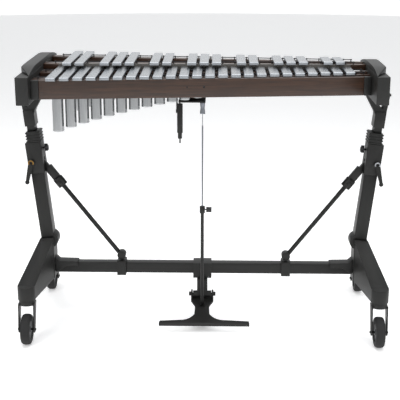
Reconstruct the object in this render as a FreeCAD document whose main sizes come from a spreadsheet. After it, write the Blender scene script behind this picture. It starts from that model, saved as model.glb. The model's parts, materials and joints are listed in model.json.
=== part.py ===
import FreeCAD, Part
import Sketcher
import math
import os
import re

from FreeCAD import Placement, Rotation, Vector

# Vibraphone on a height-adjustable wheeled stand.
# Frame: millimetres, +Z up, origin on the floor at the middle of the four castors.
# The player stands on the -Y side; the low notes are on the -X side.

doc = FreeCAD.newDocument("vibraphone")
sheet = doc.addObject("Spreadsheet::Sheet", "dims")

# Driving dimensions: alias, value.
DIMENSIONS = [
    # tone bars
    ("bar_pitch", 50), ("bar_width", 37), ("bar_thick", 12), ("bar_top", 1087), ("sharp_rise", 22),
    ("natural_front_low", -308), ("natural_front_high", -127),
    ("natural_length_low", 312), ("natural_length_high", 140),
    ("sharp_front_low", -60), ("sharp_front_high", 2),
    ("sharp_length_low", 374), ("sharp_length_high", 140),
    ("node_share", 0.224), ("bar_hole_radius", 3), ("cord_radius", 1.8),
    # rails and posts
    ("rail_ahead", 12), ("rail_behind_low", 40), ("rail_behind_high", 13), ("rail_thick", 24),
    ("rail_drop", 2), ("post_radius", 3), ("anchor_out", 31),
    ("board_thick", 18), ("board_height", 73), ("board_gap", 2), ("cap_long", 30),
    ("board_front_low", -274), ("board_front_high", -160),
    # end frames of the keyboard
    ("end_gap", 80), ("side_wide", 49), ("side_tall", 107),
    ("side_wall", 4), ("side_front_low", -330), ("side_back_low", 350),
    ("side_front_high", -280), ("side_back_high", 175),
    ("hood_rise", 24), ("hood_wall", 3), ("hood_corner", 110),
    # resonators and fans
    ("tube_radius", 22.5), ("tube_wall", 1.5), ("tube_gap", 17), ("tube_base", -19),
    ("tube_low", 225), ("tube_ratio", 0.925), ("tube_short", 42), ("strap_thick", 3), ("strap_height", 18),
    ("fan_depth", 12), ("fan_radius", 19.5), ("fan_thick", 1.5), ("fan_shaft_radius", 2.5),
    ("fan_clearance", 0.08), ("pulley_radius", 12), ("belt_size", 2.5),
    # damper
    ("felt_gap", 0.4), ("damper_wide", 17), ("damper_tall", 24), ("felt_thick", 9),
    ("rod_x", -5), ("rod_y", -90), ("yoke_thick", 6),
    ("spring_x", -96), ("spring_radius", 11.5), ("spring_long", 118), ("plunger_radius", 3),
    ("rod_radius", 3), ("rod_low", 300), ("tube_clear", 0.1), ("pull_tube_radius", 7),
    ("pull_tube_top", 500), ("pull_tube_low", 87), ("clamp_tall", 28),
    # pedal
    ("pivot_y", -40), ("pivot_z", 117), ("pedal_slope", 19), ("pedal_thick", 8),
    ("pedal_reach", 168), ("pedal_half", 186), ("blade_shift", 10), ("neck_half", 30), ("pivot_radius", 5),
    ("bracket_half", 39), ("cheek_gap", 0.8),
    # stand
    ("knee_z", 363), ("lean", 6), ("column_wide", 54), ("column_deep", 62), ("column_wall", 4),
    ("column_long", 285), ("inner_wide", 32), ("inner_deep", 50), ("inner_wall", 3),
    ("slide_gap", 0.3), ("head_long", 130), ("head_half", 32), ("head_deep", 80),
    ("collar_long", 46), ("overlap_long", 60), ("sleeve_step", 23), ("plate_thick", 8),
    ("plate_deep", 84), ("lever_long", 79), ("ring_radius", 13), ("cross_half_y", 22),
    ("cross_tall", 46), ("socket_long", 98), ("brace_foot_x", -351), ("brace_radius", 9),
    ("brace_pin", 323.5), ("pin_reach", 27), ("star_rise", 383), ("foot_y", 273),
    # castors
    ("wheel_radius", 62.5), ("wheel_wide", 40), ("trail", 30), ("axle_radius", 5),
    ("axle_clearance", 0.08), ("fork_wall", 5), ("fork_side_gap", 8),
]
ALIASES = {alias for alias, value in DIMENSIONS}
# Lengths that follow from the driving ones.
DERIVED = {
    "half_row": "11.5 * bar_pitch", "beam_inner": "half_row + end_gap",
    "board_half": "beam_inner - cap_long", "damper_half": "half_row + 17",
    "side_top": "bar_top + 5", "side_bottom": "side_top - side_tall", "yoke_z": "side_bottom - 26",
    "knee_x": "-(beam_inner + 7)", "foot_x": "-(beam_inner + 57)",
    "foot_bottom": "2 * wheel_radius + 59", "foot_top": "foot_bottom + 56",
    "cross_low": "foot_bottom + 19", "cross_high": "cross_low + cross_tall",
    "brace_foot_z": "cross_high + 25",
}
for row, (alias, value) in enumerate(DIMENSIONS, 1):
    sheet.set(f"A{row}", alias)
    sheet.set(f"B{row}", str(value))
    sheet.setAlias(f"B{row}", alias)
doc.recompute()

NATURALS = 24
SHARPS = [0, 1, 3, 4, 5, 7, 8, 10, 11, 12, 14, 15, 17, 18, 19, 21, 22]
LAST = NATURALS - 1
nodes = []


# ---------------------------------------------------------------- building helpers

def expression(text):
    """Point the driving names in a formula at the sheet and spell out the derived ones."""
    def spelled(word):
        if word[0] in DERIVED:
            return "(" + expression(DERIVED[word[0]]) + ")"
        return "dims." + word[0] if word[0] in ALIASES else word[0]
    return re.sub(r"[a-z_]+", spelled, text)


def number(text):
    """Value of a formula, for the first guess of a sketch and for loops."""
    result = sheet.evalExpression(expression(str(text)))
    return float(getattr(result, "Value", result))


def bind(item, **formulas):
    """Tie properties to formulas of the driving dimensions."""
    for name, text in formulas.items():
        item.setExpression(name, expression(str(text)))
    return item


def place(item, x=0, y=0, z=0, axis=None, angle=0):
    """Put an object at x, y, z, turned by angle about axis."""
    if axis is not None:
        item.Placement = Placement(Vector(0, 0, 0), Rotation(Vector(*axis), number(angle) or 1e-9))
        item.setExpression("Placement.Rotation.Angle", expression(str(angle)))
    for letter, text in zip("xyz", (x, y, z)):
        item.setExpression(f"Placement.Base.{letter}", expression(str(text)))
    return item


def box(name, low, size):
    """Box from its low corner and its three sizes."""
    item = doc.addObject("Part::Box", name)
    bind(item, Length=size[0], Width=size[1], Height=size[2])
    return place(item, *low)


TURNS = {"x": ((0, 1, 0), 90), "y": ((1, 0, 0), -90), "z": (None, 0)}


def cylinder(name, radius, height, base, along="z"):
    """Round bar from its base point, running along +x, +y or +z."""
    item = doc.addObject("Part::Cylinder", name)
    bind(item, Radius=radius, Height=height)
    axis, angle = TURNS[along]
    return place(item, *base, axis=axis, angle=angle)


def ball(name, radius, centre):
    item = doc.addObject("Part::Sphere", name)
    bind(item, Radius=radius)
    return place(item, *centre)


def fuse(name, parts):
    item = doc.addObject("Part::MultiFuse", name)
    item.Shapes = parts
    item.Refine = True
    return item


def group(name, parts):
    item = doc.addObject("Part::Compound", name)
    item.Links = parts
    return item


def cut(name, base, tool):
    item = doc.addObject("Part::Cut", name)
    item.Base = base
    item.Tool = tool
    return item


def mirrored(name, source):
    """Copy of a left-hand piece on the right."""
    item = doc.addObject("Part::Mirroring", name)
    item.Source = source
    item.Normal = Vector(1, 0, 0)
    item.Base = Vector(0, 0, 0)
    return item


def node(item, label):
    """Register a finished sub-part under its own name."""
    item.Label = label
    nodes.append(item)
    return item


def both_sides(item, label):
    """Register a left-hand piece and its mirror image."""
    node(item, label + "_left")
    return node(mirrored(item.Name + "_mirror", item), label + "_right")


def arc_between(start, end, radius, side):
    """Arc from start to end; side +1 bulges to the left of the way from start to end."""
    chord = end - start
    half = chord.Length / 2
    rise = radius - math.sqrt(max(radius * radius - half * half, 0.0))
    normal = Vector(-chord.y, chord.x, 0).normalize()
    return Part.Arc(start, (start + end) * 0.5 + normal * rise * side, end)


def outline(sketch, corners):
    """Closed outline; a corner is (x, y) or (x, y, radius, side) when an arc leaves it."""
    points = [Vector(number(corner[0]), number(corner[1]), 0) for corner in corners]
    for index, corner in enumerate(corners):
        start, end = points[index], points[(index + 1) % len(points)]
        if len(corner) == 4:
            sketch.addGeometry(arc_between(start, end, number(corner[2]), corner[3]))
        else:
            sketch.addGeometry(Part.LineSegment(start, end))
    ends = []
    for index, corner in enumerate(corners):
        leaves_first = len(corner) < 4 or corner[3] < 0
        ends.append((1, 2) if leaves_first else (2, 1))
    for index, corner in enumerate(corners):
        following = (index + 1) % len(corners)
        sketch.addConstraint(Sketcher.Constraint(
            "Coincident", index, ends[index][1], following, ends[following][0]))
        for kind, text in (("DistanceX", corner[0]), ("DistanceY", corner[1])):
            position = sketch.addConstraint(Sketcher.Constraint(
                kind, -1, 1, index, ends[index][0], number(text)))
            sketch.setExpression(f"Constraints[{position}]", expression(str(text)))
        if len(corner) == 4:
            position = sketch.addConstraint(Sketcher.Constraint("Radius", index, number(corner[2])))
            sketch.setExpression(f"Constraints[{position}]", expression(str(corner[2])))


def plane_sketch(body, name, role):
    """Empty sketch on one of the body's own origin planes."""
    sketch = body.newObject("Sketcher::SketchObject", name)
    plane = [item for item in body.Origin.OriginFeatures if item.Role == role][0]
    sketch.AttachmentSupport = [(plane, "")]
    sketch.MapMode = "FlatFace"
    return sketch


def prism(name, role, corners, depth, base=(0, 0, 0)):
    """Padded outline on the XY_Plane (grows +Z), XZ_Plane (grows -Y) or YZ_Plane (grows +X)."""
    body = doc.addObject("PartDesign::Body", name)
    sketch = plane_sketch(body, name + "_outline", role)
    outline(sketch, corners)
    pad = body.newObject("PartDesign::Pad", name + "_pad")
    pad.Profile = sketch
    bind(pad, Length=depth)
    return place(body, *base)


def turned(name, corners, base=(0, 0, 0)):
    """Revolved profile of (radius, height) corners about a vertical axis."""
    body = doc.addObject("PartDesign::Body", name)
    sketch = plane_sketch(body, name + "_profile", "XZ_Plane")
    outline(sketch, corners)
    turn = body.newObject("PartDesign::Revolution", name + "_turn")
    turn.Profile = sketch
    turn.ReferenceAxis = (sketch, ["V_Axis"])
    turn.Angle = 360
    return place(body, *base)


def frame_sketch(name, wide, tall, x, y, z):
    """Rectangle in a plane across Y, centred at x, y, z, for a loft."""
    sketch = doc.addObject("Sketcher::SketchObject", name)
    outline(sketch, [(f"-({wide})/2", f"-({tall})/2"), (f"({wide})/2", f"-({tall})/2"),
                     (f"({wide})/2", f"({tall})/2"), (f"-({wide})/2", f"({tall})/2")])
    return place(sketch, x, y, z, axis=(1, 0, 0), angle=90)


def loft(name, sections):
    item = doc.addObject("Part::Loft", name)
    item.Sections = sections
    item.Solid = True
    item.Ruled = True
    return item


# ---------------------------------------------------------------- lines across the keyboard

# Every line is (y at the lowest natural, y at the highest natural); both rows are straight.
HALF = f"({LAST / 2} * bar_pitch)"
NATURAL_FRONT = ("natural_front_low", "natural_front_high")
NATURAL_BACK = ("(natural_front_low + natural_length_low)", "(natural_front_high + natural_length_high)")
NATURAL_NODE_A = ("(natural_front_low + node_share * natural_length_low)",
                  "(natural_front_high + node_share * natural_length_high)")
NATURAL_NODE_B = ("(natural_front_low + (1 - node_share) * natural_length_low)",
                  "(natural_front_high + (1 - node_share) * natural_length_high)")
NATURAL_MIDDLE = ("(natural_front_low + natural_length_low / 2)",
                  "(natural_front_high + natural_length_high / 2)")
SHARP_NODE_A = ("(sharp_front_low + node_share * sharp_length_low)",
                "(sharp_front_high + node_share * sharp_length_high)")
SHARP_NODE_B = ("(sharp_front_low + (1 - node_share) * sharp_length_low)",
                "(sharp_front_high + (1 - node_share) * sharp_length_high)")
SHARP_MIDDLE = ("(sharp_front_low + sharp_length_low / 2)", "(sharp_front_high + sharp_length_high / 2)")
BAR_BOTTOM = "(bar_top - bar_thick)"
SHARP_BOTTOM = "(bar_top + sharp_rise - bar_thick)"
CORD_Z = "(bar_top - bar_thick / 2)"
NATURAL_TUBE_TOP = f"({BAR_BOTTOM} - tube_gap)"
SHARP_TUBE_TOP = f"({SHARP_BOTTOM} - tube_gap)"


def on_line(line, x):
    """Formula of y on a line across the keyboard at x."""
    return f"(({line[0]}) + (({line[1]}) - ({line[0]})) * (({x}) + {HALF}) / (2 * {HALF}))"


def slope_angle(line):
    """Turn about Z of a line across the keyboard."""
    return f"atan((({line[1]}) - ({line[0]})) / (2 * {HALF}))"


def note_x(step):
    return f"({step - LAST / 2} * bar_pitch)"


def rod_on_line(name, radius, line, z, half):
    """Round rod lying along a line across the keyboard, from -half to +half in x."""
    item = doc.addObject("Part::Cylinder", name)
    bind(item, Radius=radius, Height=f"2 * ({half}) / cos({slope_angle(line)})")
    start = f"-({half})"
    item.Placement = Placement(Vector(0, 0, 0), Rotation(Vector(0, 1, 0), 90))
    holder = doc.addObject("Part::Compound", name + "_turned")
    holder.Links = [item]
    return place(holder, start, on_line(line, start), z, axis=(0, 0, 1), angle=slope_angle(line))


def shifted(line, low, high):
    """Line moved back by low at the lowest natural and by high at the highest."""
    return f"({line[0]} + ({low}))", f"({line[1]} + ({high}))"


def slab_between(name, front, back, half, low, tall, high_end=None):
    """Board between two lines, with square-cut ends at -half and at half or high_end."""
    left, right = f"-({half})", f"({high_end or half})"
    corners = [(left, on_line(front, left)), (right, on_line(front, right)),
               (right, on_line(back, right)), (left, on_line(back, left))]
    return prism(name, "XY_Plane", corners, tall, (0, 0, low))


def strip_on_line(name, line, half, before, behind, low, tall, high_end=None):
    """Board of even depth along a line, from before to behind it."""
    front, back = shifted(line, before, before), shifted(line, behind, behind)
    return slab_between(name, front, back, half, low, tall, high_end)


# ---------------------------------------------------------------- tone bars, cords and posts

def bar_row(name, steps, front, length, top, node_lines):
    """One row of tone bars, drilled across at both nodes for the cord."""
    bars = []
    for step in steps:
        x = note_x(step)
        low = (f"{x} - bar_width / 2", on_line(front, x), f"({top}) - bar_thick")
        bars.append(box(f"{name}_{len(bars)}", low, ("bar_width", on_line(length, x), "bar_thick")))
    drills = [rod_on_line(f"{name}_drill_{index}", "bar_hole_radius", line, f"({top}) - bar_thick / 2",
                          f"{HALF} + bar_pitch") for index, line in enumerate(node_lines)]
    return cut(name, group(name + "_blanks", bars), fuse(name + "_drills", drills))


natural_steps = list(range(NATURALS))
sharp_steps = [step + 0.5 for step in SHARPS]
node(bar_row("natural_bar", natural_steps, NATURAL_FRONT, ("natural_length_low", "natural_length_high"),
             "bar_top", (NATURAL_NODE_A, NATURAL_NODE_B)), "natural_bars")
node(bar_row("sharp_bar", sharp_steps, ("sharp_front_low", "sharp_front_high"),
             ("sharp_length_low", "sharp_length_high"), "bar_top + sharp_rise",
             (SHARP_NODE_A, SHARP_NODE_B)), "accidental_bars")

CORD_LINES = [
    ("natural_a", NATURAL_NODE_A, "0", [step - 0.5 for step in range(NATURALS + 1)]),
    ("natural_b", NATURAL_NODE_B, "0", [step - 0.5 for step in range(NATURALS + 1)]),
    ("sharp_a", SHARP_NODE_A, "sharp_rise", list(range(NATURALS))),
    ("sharp_b", SHARP_NODE_B, "sharp_rise", list(range(NATURALS))),
]
cords = []
post_rows = []
for name, line, rise, steps in CORD_LINES:
    last_x = f"({HALF} + ({steps[-1] - LAST}) * bar_pitch + anchor_out)"
    half = f"{last_x} + post_radius + 2"
    z = f"{CORD_Z} + {rise}"
    cords.append(rod_on_line("cord_" + name, "cord_radius", line, z, half))
    posts = []
    foot = f"{BAR_BOTTOM} + {rise} - rail_drop"
    for x in [note_x(step) for step in steps] + [f"-{last_x}", last_x]:
        posts.append(cylinder(f"post_{name}_{len(posts)}", "post_radius",
                              "rail_drop + bar_thick / 2 + cord_radius + 1.5", (x, on_line(line, x), foot)))
    eye = rod_on_line("eye_" + name, "cord_radius + 0.2", line, z, f"{HALF} + 2 * bar_pitch")
    post_rows.append(cut("posts_" + name, group("blanks_" + name, posts), eye))
node(group("cords", cords), "bar_cords")
node(group("post_rows", post_rows), "cord_posts")


# ---------------------------------------------------------------- rails, front board, end frames

def rail(name, line, rise):
    """Wooden rail under one line of posts."""
    low = f"{BAR_BOTTOM} + {rise} - rail_drop - rail_thick"
    front = shifted(line, "-rail_ahead", "-rail_ahead")
    back = shifted(line, "rail_behind_low", "rail_behind_high")
    return slab_between(name, front, back, "beam_inner", low, "rail_thick")


node(group("rails_natural", [rail("rail_natural_a", NATURAL_NODE_A, "0"),
                             rail("rail_natural_b", NATURAL_NODE_B, "0")]), "natural_rails")
node(group("rails_sharp", [rail("rail_sharp_a", SHARP_NODE_A, "sharp_rise"),
                           rail("rail_sharp_b", SHARP_NODE_B, "sharp_rise")]), "accidental_rails")

BOARD = ("board_front_low", "board_front_high")
BOARD_LOW = f"({BAR_BOTTOM} - board_gap - board_height)"
node(strip_on_line("board", BOARD, "board_half", 0, "board_thick", BOARD_LOW, "board_height"), "front_board")


def board_cap(name, inner, outer):
    """Black end piece that carries the front board from the end frame."""
    corners = [(inner, f"{on_line(BOARD, inner)} - 1"), (outer, f"{on_line(BOARD, outer)} - 1"),
               (outer, f"{on_line(BOARD, outer)} + board_thick + 3"),
               (inner, f"{on_line(BOARD, inner)} + board_thick + 3")]
    return prism(name, "XY_Plane", corners, "board_height + 1", (0, 0, f"{BOARD_LOW} - 0.5"))


node(group("board_caps", [board_cap("board_cap_low", "-beam_inner", "-board_half"),
                          board_cap("board_cap_high", "board_half", "beam_inner")]), "board_end_caps")


def end_frame(name, low_x, front, back):
    """Hollow end beam with a closed front, and the two hooked guides under it."""
    tall = "(side_top - side_bottom)"
    outside = box(name + "_outside", (low_x, front, "side_bottom"), ("side_wide", f"{back} - ({front})", tall))
    inside = box(name + "_inside", (f"{low_x} + side_wall", f"{front} + side_wall", "side_bottom + side_wall"),
                 ("side_wide - 2 * side_wall", f"{back} - ({front})", f"{tall} - 2 * side_wall"))
    parts = [cut(name + "_shell", outside, inside)]
    reach = "(plate_deep / 2 + 1)"
    drop = "(plate_thick + 2 * slide_gap)"
    for tag, wall_y, lip_y in (("front", f"-{reach} - 6", f"-{reach}"), ("back", reach, f"{reach} - 8")):
        parts.append(box(f"{name}_guide_{tag}", (low_x, wall_y, f"side_bottom - {drop} - 6"),
                         ("side_wide", 6, f"{drop} + 6")))
        parts.append(box(f"{name}_lip_{tag}", (low_x, lip_y, f"side_bottom - {drop} - 6"), ("side_wide", 8, 6)))
    return fuse(name, parts)


LOW_X = "-beam_inner - side_wide"
node(end_frame("end_low", LOW_X, "side_front_low", "side_back_low"), "end_frame_left")
node(end_frame("end_high", "beam_inner", "side_front_high", "side_back_high"), "end_frame_right")


def hood(name, low_x, inner_x, outer_x, start, crest_a, crest_b, stop):
    """Arched end cover, a shell open underneath, with its outer front corner cut off."""
    shells = []
    for tag, inset in (("out", "0"), ("in", "hood_wall")):
        top = f"hood_rise - {inset}"
        front_radius = f"((({crest_a}) - ({start}) - {inset})^2 + ({top})^2) / (2 * ({top})) "
        back_radius = f"((({stop}) - ({crest_b}) - {inset})^2 + ({top})^2) / (2 * ({top}))"
        corners = [(f"{start} + {inset}", "0", front_radius, 1), (crest_a, top), (crest_b, top, back_radius, 1),
                   (f"{stop} - {inset}", "0")]
        wide = f"side_wide - 2 * {inset}"
        arch = prism(f"{name}_{tag}", "YZ_Plane", corners, wide, (f"{low_x} + {inset}", 0, "side_top"))
        near = f"{start} + 2.5 * {inset}"
        wedge = prism(f"{name}_{tag}_wedge", "XY_Plane", [
            (inner_x, near), (outer_x, f"{near} + hood_corner"), (outer_x, f"{start} - 20"),
            (inner_x, f"{start} - 20")], "2 * hood_rise", (0, 0, "side_top - 5"))
        shells.append(cut(f"{name}_{tag}_cut", arch, wedge))
    return cut(name, shells[0], shells[1])


node(hood("hood_low", LOW_X, "-beam_inner", LOW_X, "side_front_low + 27", "side_front_low + 200",
          "side_back_low - 205", "side_back_low"), "end_hood_left")
node(hood("hood_high", "beam_inner", "beam_inner", "beam_inner + side_wide", "side_front_high",
          "side_front_high + 150", "side_back_high - 192", "side_back_high"), "end_hood_right")


# ---------------------------------------------------------------- resonators and fans

def resonator_row(name, steps, line, top):
    """Closed-bottom tubes whose length falls by a constant ratio from note to note."""
    tubes = []
    for step in steps:
        x = note_x(step)
        y = on_line(line, x)
        long = f"max(tube_short; tube_base + tube_low * tube_ratio ^ {step})"
        low = f"({top}) - {long}"
        outer = cylinder(f"{name}_out_{len(tubes)}", "tube_radius", long, (x, y, low))
        bore = cylinder(f"{name}_bore_{len(tubes)}", "tube_radius - tube_wall", long, (x, y, f"{low} + tube_wall"))
        tubes.append(cut(f"{name}_{len(tubes)}", outer, bore))
    drill = rod_on_line(name + "_drill", "fan_shaft_radius + fan_clearance", line, f"({top}) - fan_depth",
                        f"{HALF} + 2 * bar_pitch")
    return cut(name, group(name + "_tubes", tubes), drill)


def strap_row(name, line, top, front_end, back_end):
    """Two flat straps beside a row of tubes; each ends at its own x at the high side."""
    low = f"({top}) - 45"
    return [strip_on_line(name + "_front", line, "beam_inner", "-tube_radius - strap_thick", "-tube_radius",
                          low, "strap_height", front_end),
            strip_on_line(name + "_back", line, "beam_inner", "tube_radius", "tube_radius + strap_thick",
                          low, "strap_height", back_end)]


PULLEY_X = {"natural": "beam_inner - 50", "sharp": "beam_inner - 43.5"}


def fan_shaft(name, steps, line, top):
    """Shaft through a row of tubes with a round vane in each tube and a pulley at the high end."""
    z = f"({top}) - fan_depth"
    end = f"({PULLEY_X[name]} + 5)"
    start = f"({HALF} + bar_pitch / 2 + 4)"
    shaft = doc.addObject("Part::Cylinder", name + "_shaft")
    bind(shaft, Radius="fan_shaft_radius", Height=f"({start} + {end}) / cos({slope_angle(line)})")
    shaft.Placement = Placement(Vector(0, 0, 0), Rotation(Vector(0, 1, 0), 90))
    pieces = [shaft]
    for index, step in enumerate(steps):
        vane = doc.addObject("Part::Cylinder", f"{name}_vane_{index}")
        bind(vane, Radius="fan_radius", Height="fan_thick")
        pieces.append(place(vane, f"({note_x(step)} + {start}) / cos({slope_angle(line)})", 0, "-fan_thick / 2"))
    pulley = doc.addObject("Part::Cylinder", name + "_pulley")
    bind(pulley, Radius="pulley_radius - belt_size - 0.2", Height=6)
    pieces.append(place(pulley, f"({PULLEY_X[name]} - 3 + {start}) / cos({slope_angle(line)})", 0, 0,
                        axis=(0, 1, 0), angle=90))
    shaft_line = fuse(name + "_fan", pieces)
    return place(shaft_line, f"-{start}", on_line(line, f"-{start}"), z, axis=(0, 0, 1), angle=slope_angle(line))


node(resonator_row("natural_tube", natural_steps, NATURAL_MIDDLE, NATURAL_TUBE_TOP), "natural_resonators")
node(resonator_row("sharp_tube", sharp_steps, SHARP_MIDDLE, SHARP_TUBE_TOP), "accidental_resonators")
# The two inner straps stop short of the drive belts; the outer ones reach both end frames.
SHORT_END = f"{HALF} + tube_radius + 2"
node(group("straps", strap_row("natural_strap", NATURAL_MIDDLE, NATURAL_TUBE_TOP, "beam_inner", SHORT_END)
           + strap_row("sharp_strap", SHARP_MIDDLE, SHARP_TUBE_TOP, SHORT_END, "beam_inner")),
     "resonator_straps")
node(fan_shaft("natural", natural_steps, NATURAL_MIDDLE, NATURAL_TUBE_TOP), "fan_shaft_naturals")
node(fan_shaft("sharp", sharp_steps, SHARP_MIDDLE, SHARP_TUBE_TOP), "fan_shaft_accidentals")

MOTOR_Y = "20"
MOTOR_Z = "(side_bottom + 24)"
motor_parts = [cylinder("motor_case", 22, 36, ("beam_inner - 40", MOTOR_Y, MOTOR_Z), "x"),
               box("motor_foot", ("beam_inner - 4", f"{MOTOR_Y} - 30", f"{MOTOR_Z} - 22"), (4, 60, 50))]
motor_bore = cylinder("motor_bore", "3 + fan_clearance", 60, ("beam_inner - 60", MOTOR_Y, MOTOR_Z), "x")
node(cut("motor", fuse("motor_solid", motor_parts), motor_bore), "fan_motor")
drive = [cylinder("drive_shaft", 3, 45, ("beam_inner - 53.5", MOTOR_Y, MOTOR_Z), "x"),
         cylinder("drive_wheel", "pulley_radius - belt_size - 0.2", 12.5, ("beam_inner - 53.5", MOTOR_Y, MOTOR_Z), "x")]
node(fuse("drive_pulley_solid", drive), "drive_pulley")


def belt(name, line, top, x):
    """Flat drive belt round the motor pulley and one fan pulley."""
    rise = f"(({top}) - fan_depth - {MOTOR_Z})"
    run = f"({on_line(line, x)} - {MOTOR_Y})"
    long = f"sqrt({rise}^2 + {run}^2)"
    loops = []
    for tag, radius, low, wide in (("out", "pulley_radius", "-belt_size / 2", "belt_size"),
                                   ("in", "(pulley_radius - belt_size)", "-belt_size", "2 * belt_size")):
        loops.append(fuse(f"{name}_{tag}", [
            box(f"{name}_{tag}_run", (low, 0, f"-{radius}"), (wide, long, f"2 * {radius}")),
            cylinder(f"{name}_{tag}_near", radius, wide, (low, 0, 0), "x"),
            cylinder(f"{name}_{tag}_far", radius, wide, (low, long, 0), "x")]))
    loop = cut(name, loops[0], loops[1])
    return place(loop, x, MOTOR_Y, MOTOR_Z, axis=(1, 0, 0), angle=f"atan2({rise}; {run})")


node(group("belts", [belt("belt_natural", NATURAL_MIDDLE, NATURAL_TUBE_TOP, PULLEY_X["natural"]),
                     belt("belt_sharp", SHARP_MIDDLE, SHARP_TUBE_TOP, PULLEY_X["sharp"])]), "drive_belts")


# ---------------------------------------------------------------- damper, spring and pull rod

DAMPER_TOP = f"({BAR_BOTTOM} - felt_gap - felt_thick)"
node(strip_on_line("damper_body", NATURAL_BACK, "damper_half", "-damper_wide + 6", 6,
                   f"{DAMPER_TOP} - damper_tall", "damper_tall"), "damper_bar")
node(group("felts", [
    strip_on_line("felt_natural", NATURAL_BACK, "damper_half", "-damper_wide + 6", -0.5, DAMPER_TOP, "felt_thick"),
    strip_on_line("felt_sharp", NATURAL_BACK, "damper_half", 1, 6, DAMPER_TOP, "felt_thick + sharp_rise")]),
    "damper_felt")

DAMPER_LOW = f"({DAMPER_TOP} - damper_tall)"
YOKE_BACK = f"({on_line(NATURAL_BACK, 'spring_x')})"
yoke_corners = [("rod_y - 15", "yoke_z"), (f"{YOKE_BACK} + 4", "yoke_z"), (f"{YOKE_BACK} + 4", DAMPER_LOW),
                (f"{YOKE_BACK} - 2", DAMPER_LOW), (f"{YOKE_BACK} - 2", "yoke_z + yoke_thick"),
                ("rod_y - 15", "yoke_z + yoke_thick")]
yoke_low_x = "(spring_x - 5)"
yoke = prism("yoke", "YZ_Plane", yoke_corners, f"rod_x + 12 - {yoke_low_x}", (yoke_low_x, 0, 0))
plunger_low = "(yoke_z - 168)"
plunger = cylinder("plunger", "plunger_radius", f"yoke_z - {plunger_low}", ("spring_x", "rod_y", plunger_low))
node(fuse("yoke_assembly", [yoke, plunger]), "damper_yoke")

HOUSING_TOP = "(yoke_z - 7)"
housing = cut("housing", cylinder("housing_out", "spring_radius", "spring_long",
                                  ("spring_x", "rod_y", f"{HOUSING_TOP} - spring_long")),
              cylinder("housing_bore", "spring_radius - 2.5", "spring_long",
                       ("spring_x", "rod_y", f"{HOUSING_TOP} - spring_long + 4")))
neck = cylinder("housing_neck", "spring_radius - 3", 24, ("spring_x", "rod_y", f"{HOUSING_TOP} - spring_long - 24"))
neck_bore = cylinder("neck_bore", "plunger_radius + 0.1", 40,
                     ("spring_x", "rod_y", f"{HOUSING_TOP} - spring_long - 30"))
housing_cut = cut("spring_housing_solid", fuse("housing_fused", [housing, neck]), neck_bore)

HANGER_X = "(spring_x - spring_radius - 4.5)"
HANGER_Y = f"({on_line(NATURAL_NODE_B, HANGER_X)} - rail_ahead + 2)"
HANGER_TOP = f"({BAR_BOTTOM} - rail_drop - rail_thick)"
hanger = fuse("hanger_fused", [
    box("hanger_bar", (HANGER_X, HANGER_Y, f"{HOUSING_TOP} - 36"), (6, 6, f"{HANGER_TOP} - {HOUSING_TOP} + 36")),
    box("hanger_arm", (HANGER_X, "rod_y - 8", f"{HOUSING_TOP} - 36"),
        ("spring_radius + 6", f"{HANGER_Y} + 6 - rod_y + 8", 12))])
hanger_bore = cylinder("hanger_bore", "spring_radius", 60, ("spring_x", "rod_y", f"{HOUSING_TOP} - 80"))
node(group("housing_group", [housing_cut, cut("hanger", hanger, hanger_bore)]), "spring_housing")
node(cut("spring_solid", cylinder("spring_out", "spring_radius - 3", "spring_long - 6",
                                  ("spring_x", "rod_y", f"{HOUSING_TOP} - spring_long + 4.5")),
         cylinder("spring_in", "plunger_radius + 1", "spring_long",
                  ("spring_x", "rod_y", f"{HOUSING_TOP} - spring_long"))), "damper_spring")

rod_profile = [("0", "rod_low"), ("rod_radius", "rod_low"), ("rod_radius", "yoke_z - 98"),
               ("1.3", "yoke_z - 94"), ("1.3", "yoke_z - 47"), ("11", "yoke_z - 47"), ("8.5", "yoke_z - 24"),
               ("11", "yoke_z"), ("0", "yoke_z")]
node(turned("rod", rod_profile, ("rod_x", "rod_y", 0)), "pull_rod")

TUBE_BORE = "(rod_radius + tube_clear)"
CLAMP_LOW = "(pull_tube_top - 4)"
pull_tube = fuse("pull_tube_solid", [
    cylinder("pull_tube_out", "pull_tube_radius", "pull_tube_top - pull_tube_low", ("rod_x", "rod_y", "pull_tube_low")),
    cylinder("clamp_sleeve", "pull_tube_radius + 4", "clamp_tall", ("rod_x", "rod_y", CLAMP_LOW))])
pull_bore = fuse("pull_bore", [
    cylinder("tube_bore", "pull_tube_radius - 2", "pull_tube_top - pull_tube_low - 12",
             ("rod_x", "rod_y", "pull_tube_low + 12")),
    cylinder("clamp_bore", TUBE_BORE, "clamp_tall + 40", ("rod_x", "rod_y", "pull_tube_top - 20")),
    cylinder("screw_bore", "2.5", 30, ("rod_x + rod_radius + 1", "rod_y", f"{CLAMP_LOW} + clamp_tall / 2"), "x")])
node(cut("pull_tube_cut", pull_tube, pull_bore), "pull_tube")
SCREW_X = "(rod_x + rod_radius + 1.2)"
KNOB_Z = f"({CLAMP_LOW} + clamp_tall / 2)"
node(fuse("rod_knob_solid", [
    cylinder("rod_screw", 2.4, 16, (SCREW_X, "rod_y", KNOB_Z), "x"),
    cylinder("rod_knob_grip", 11, 22, (f"{SCREW_X} + 12", "rod_y", KNOB_Z), "x")]), "rod_clamp_knob")


# ---------------------------------------------------------------- pedal and its bracket

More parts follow.
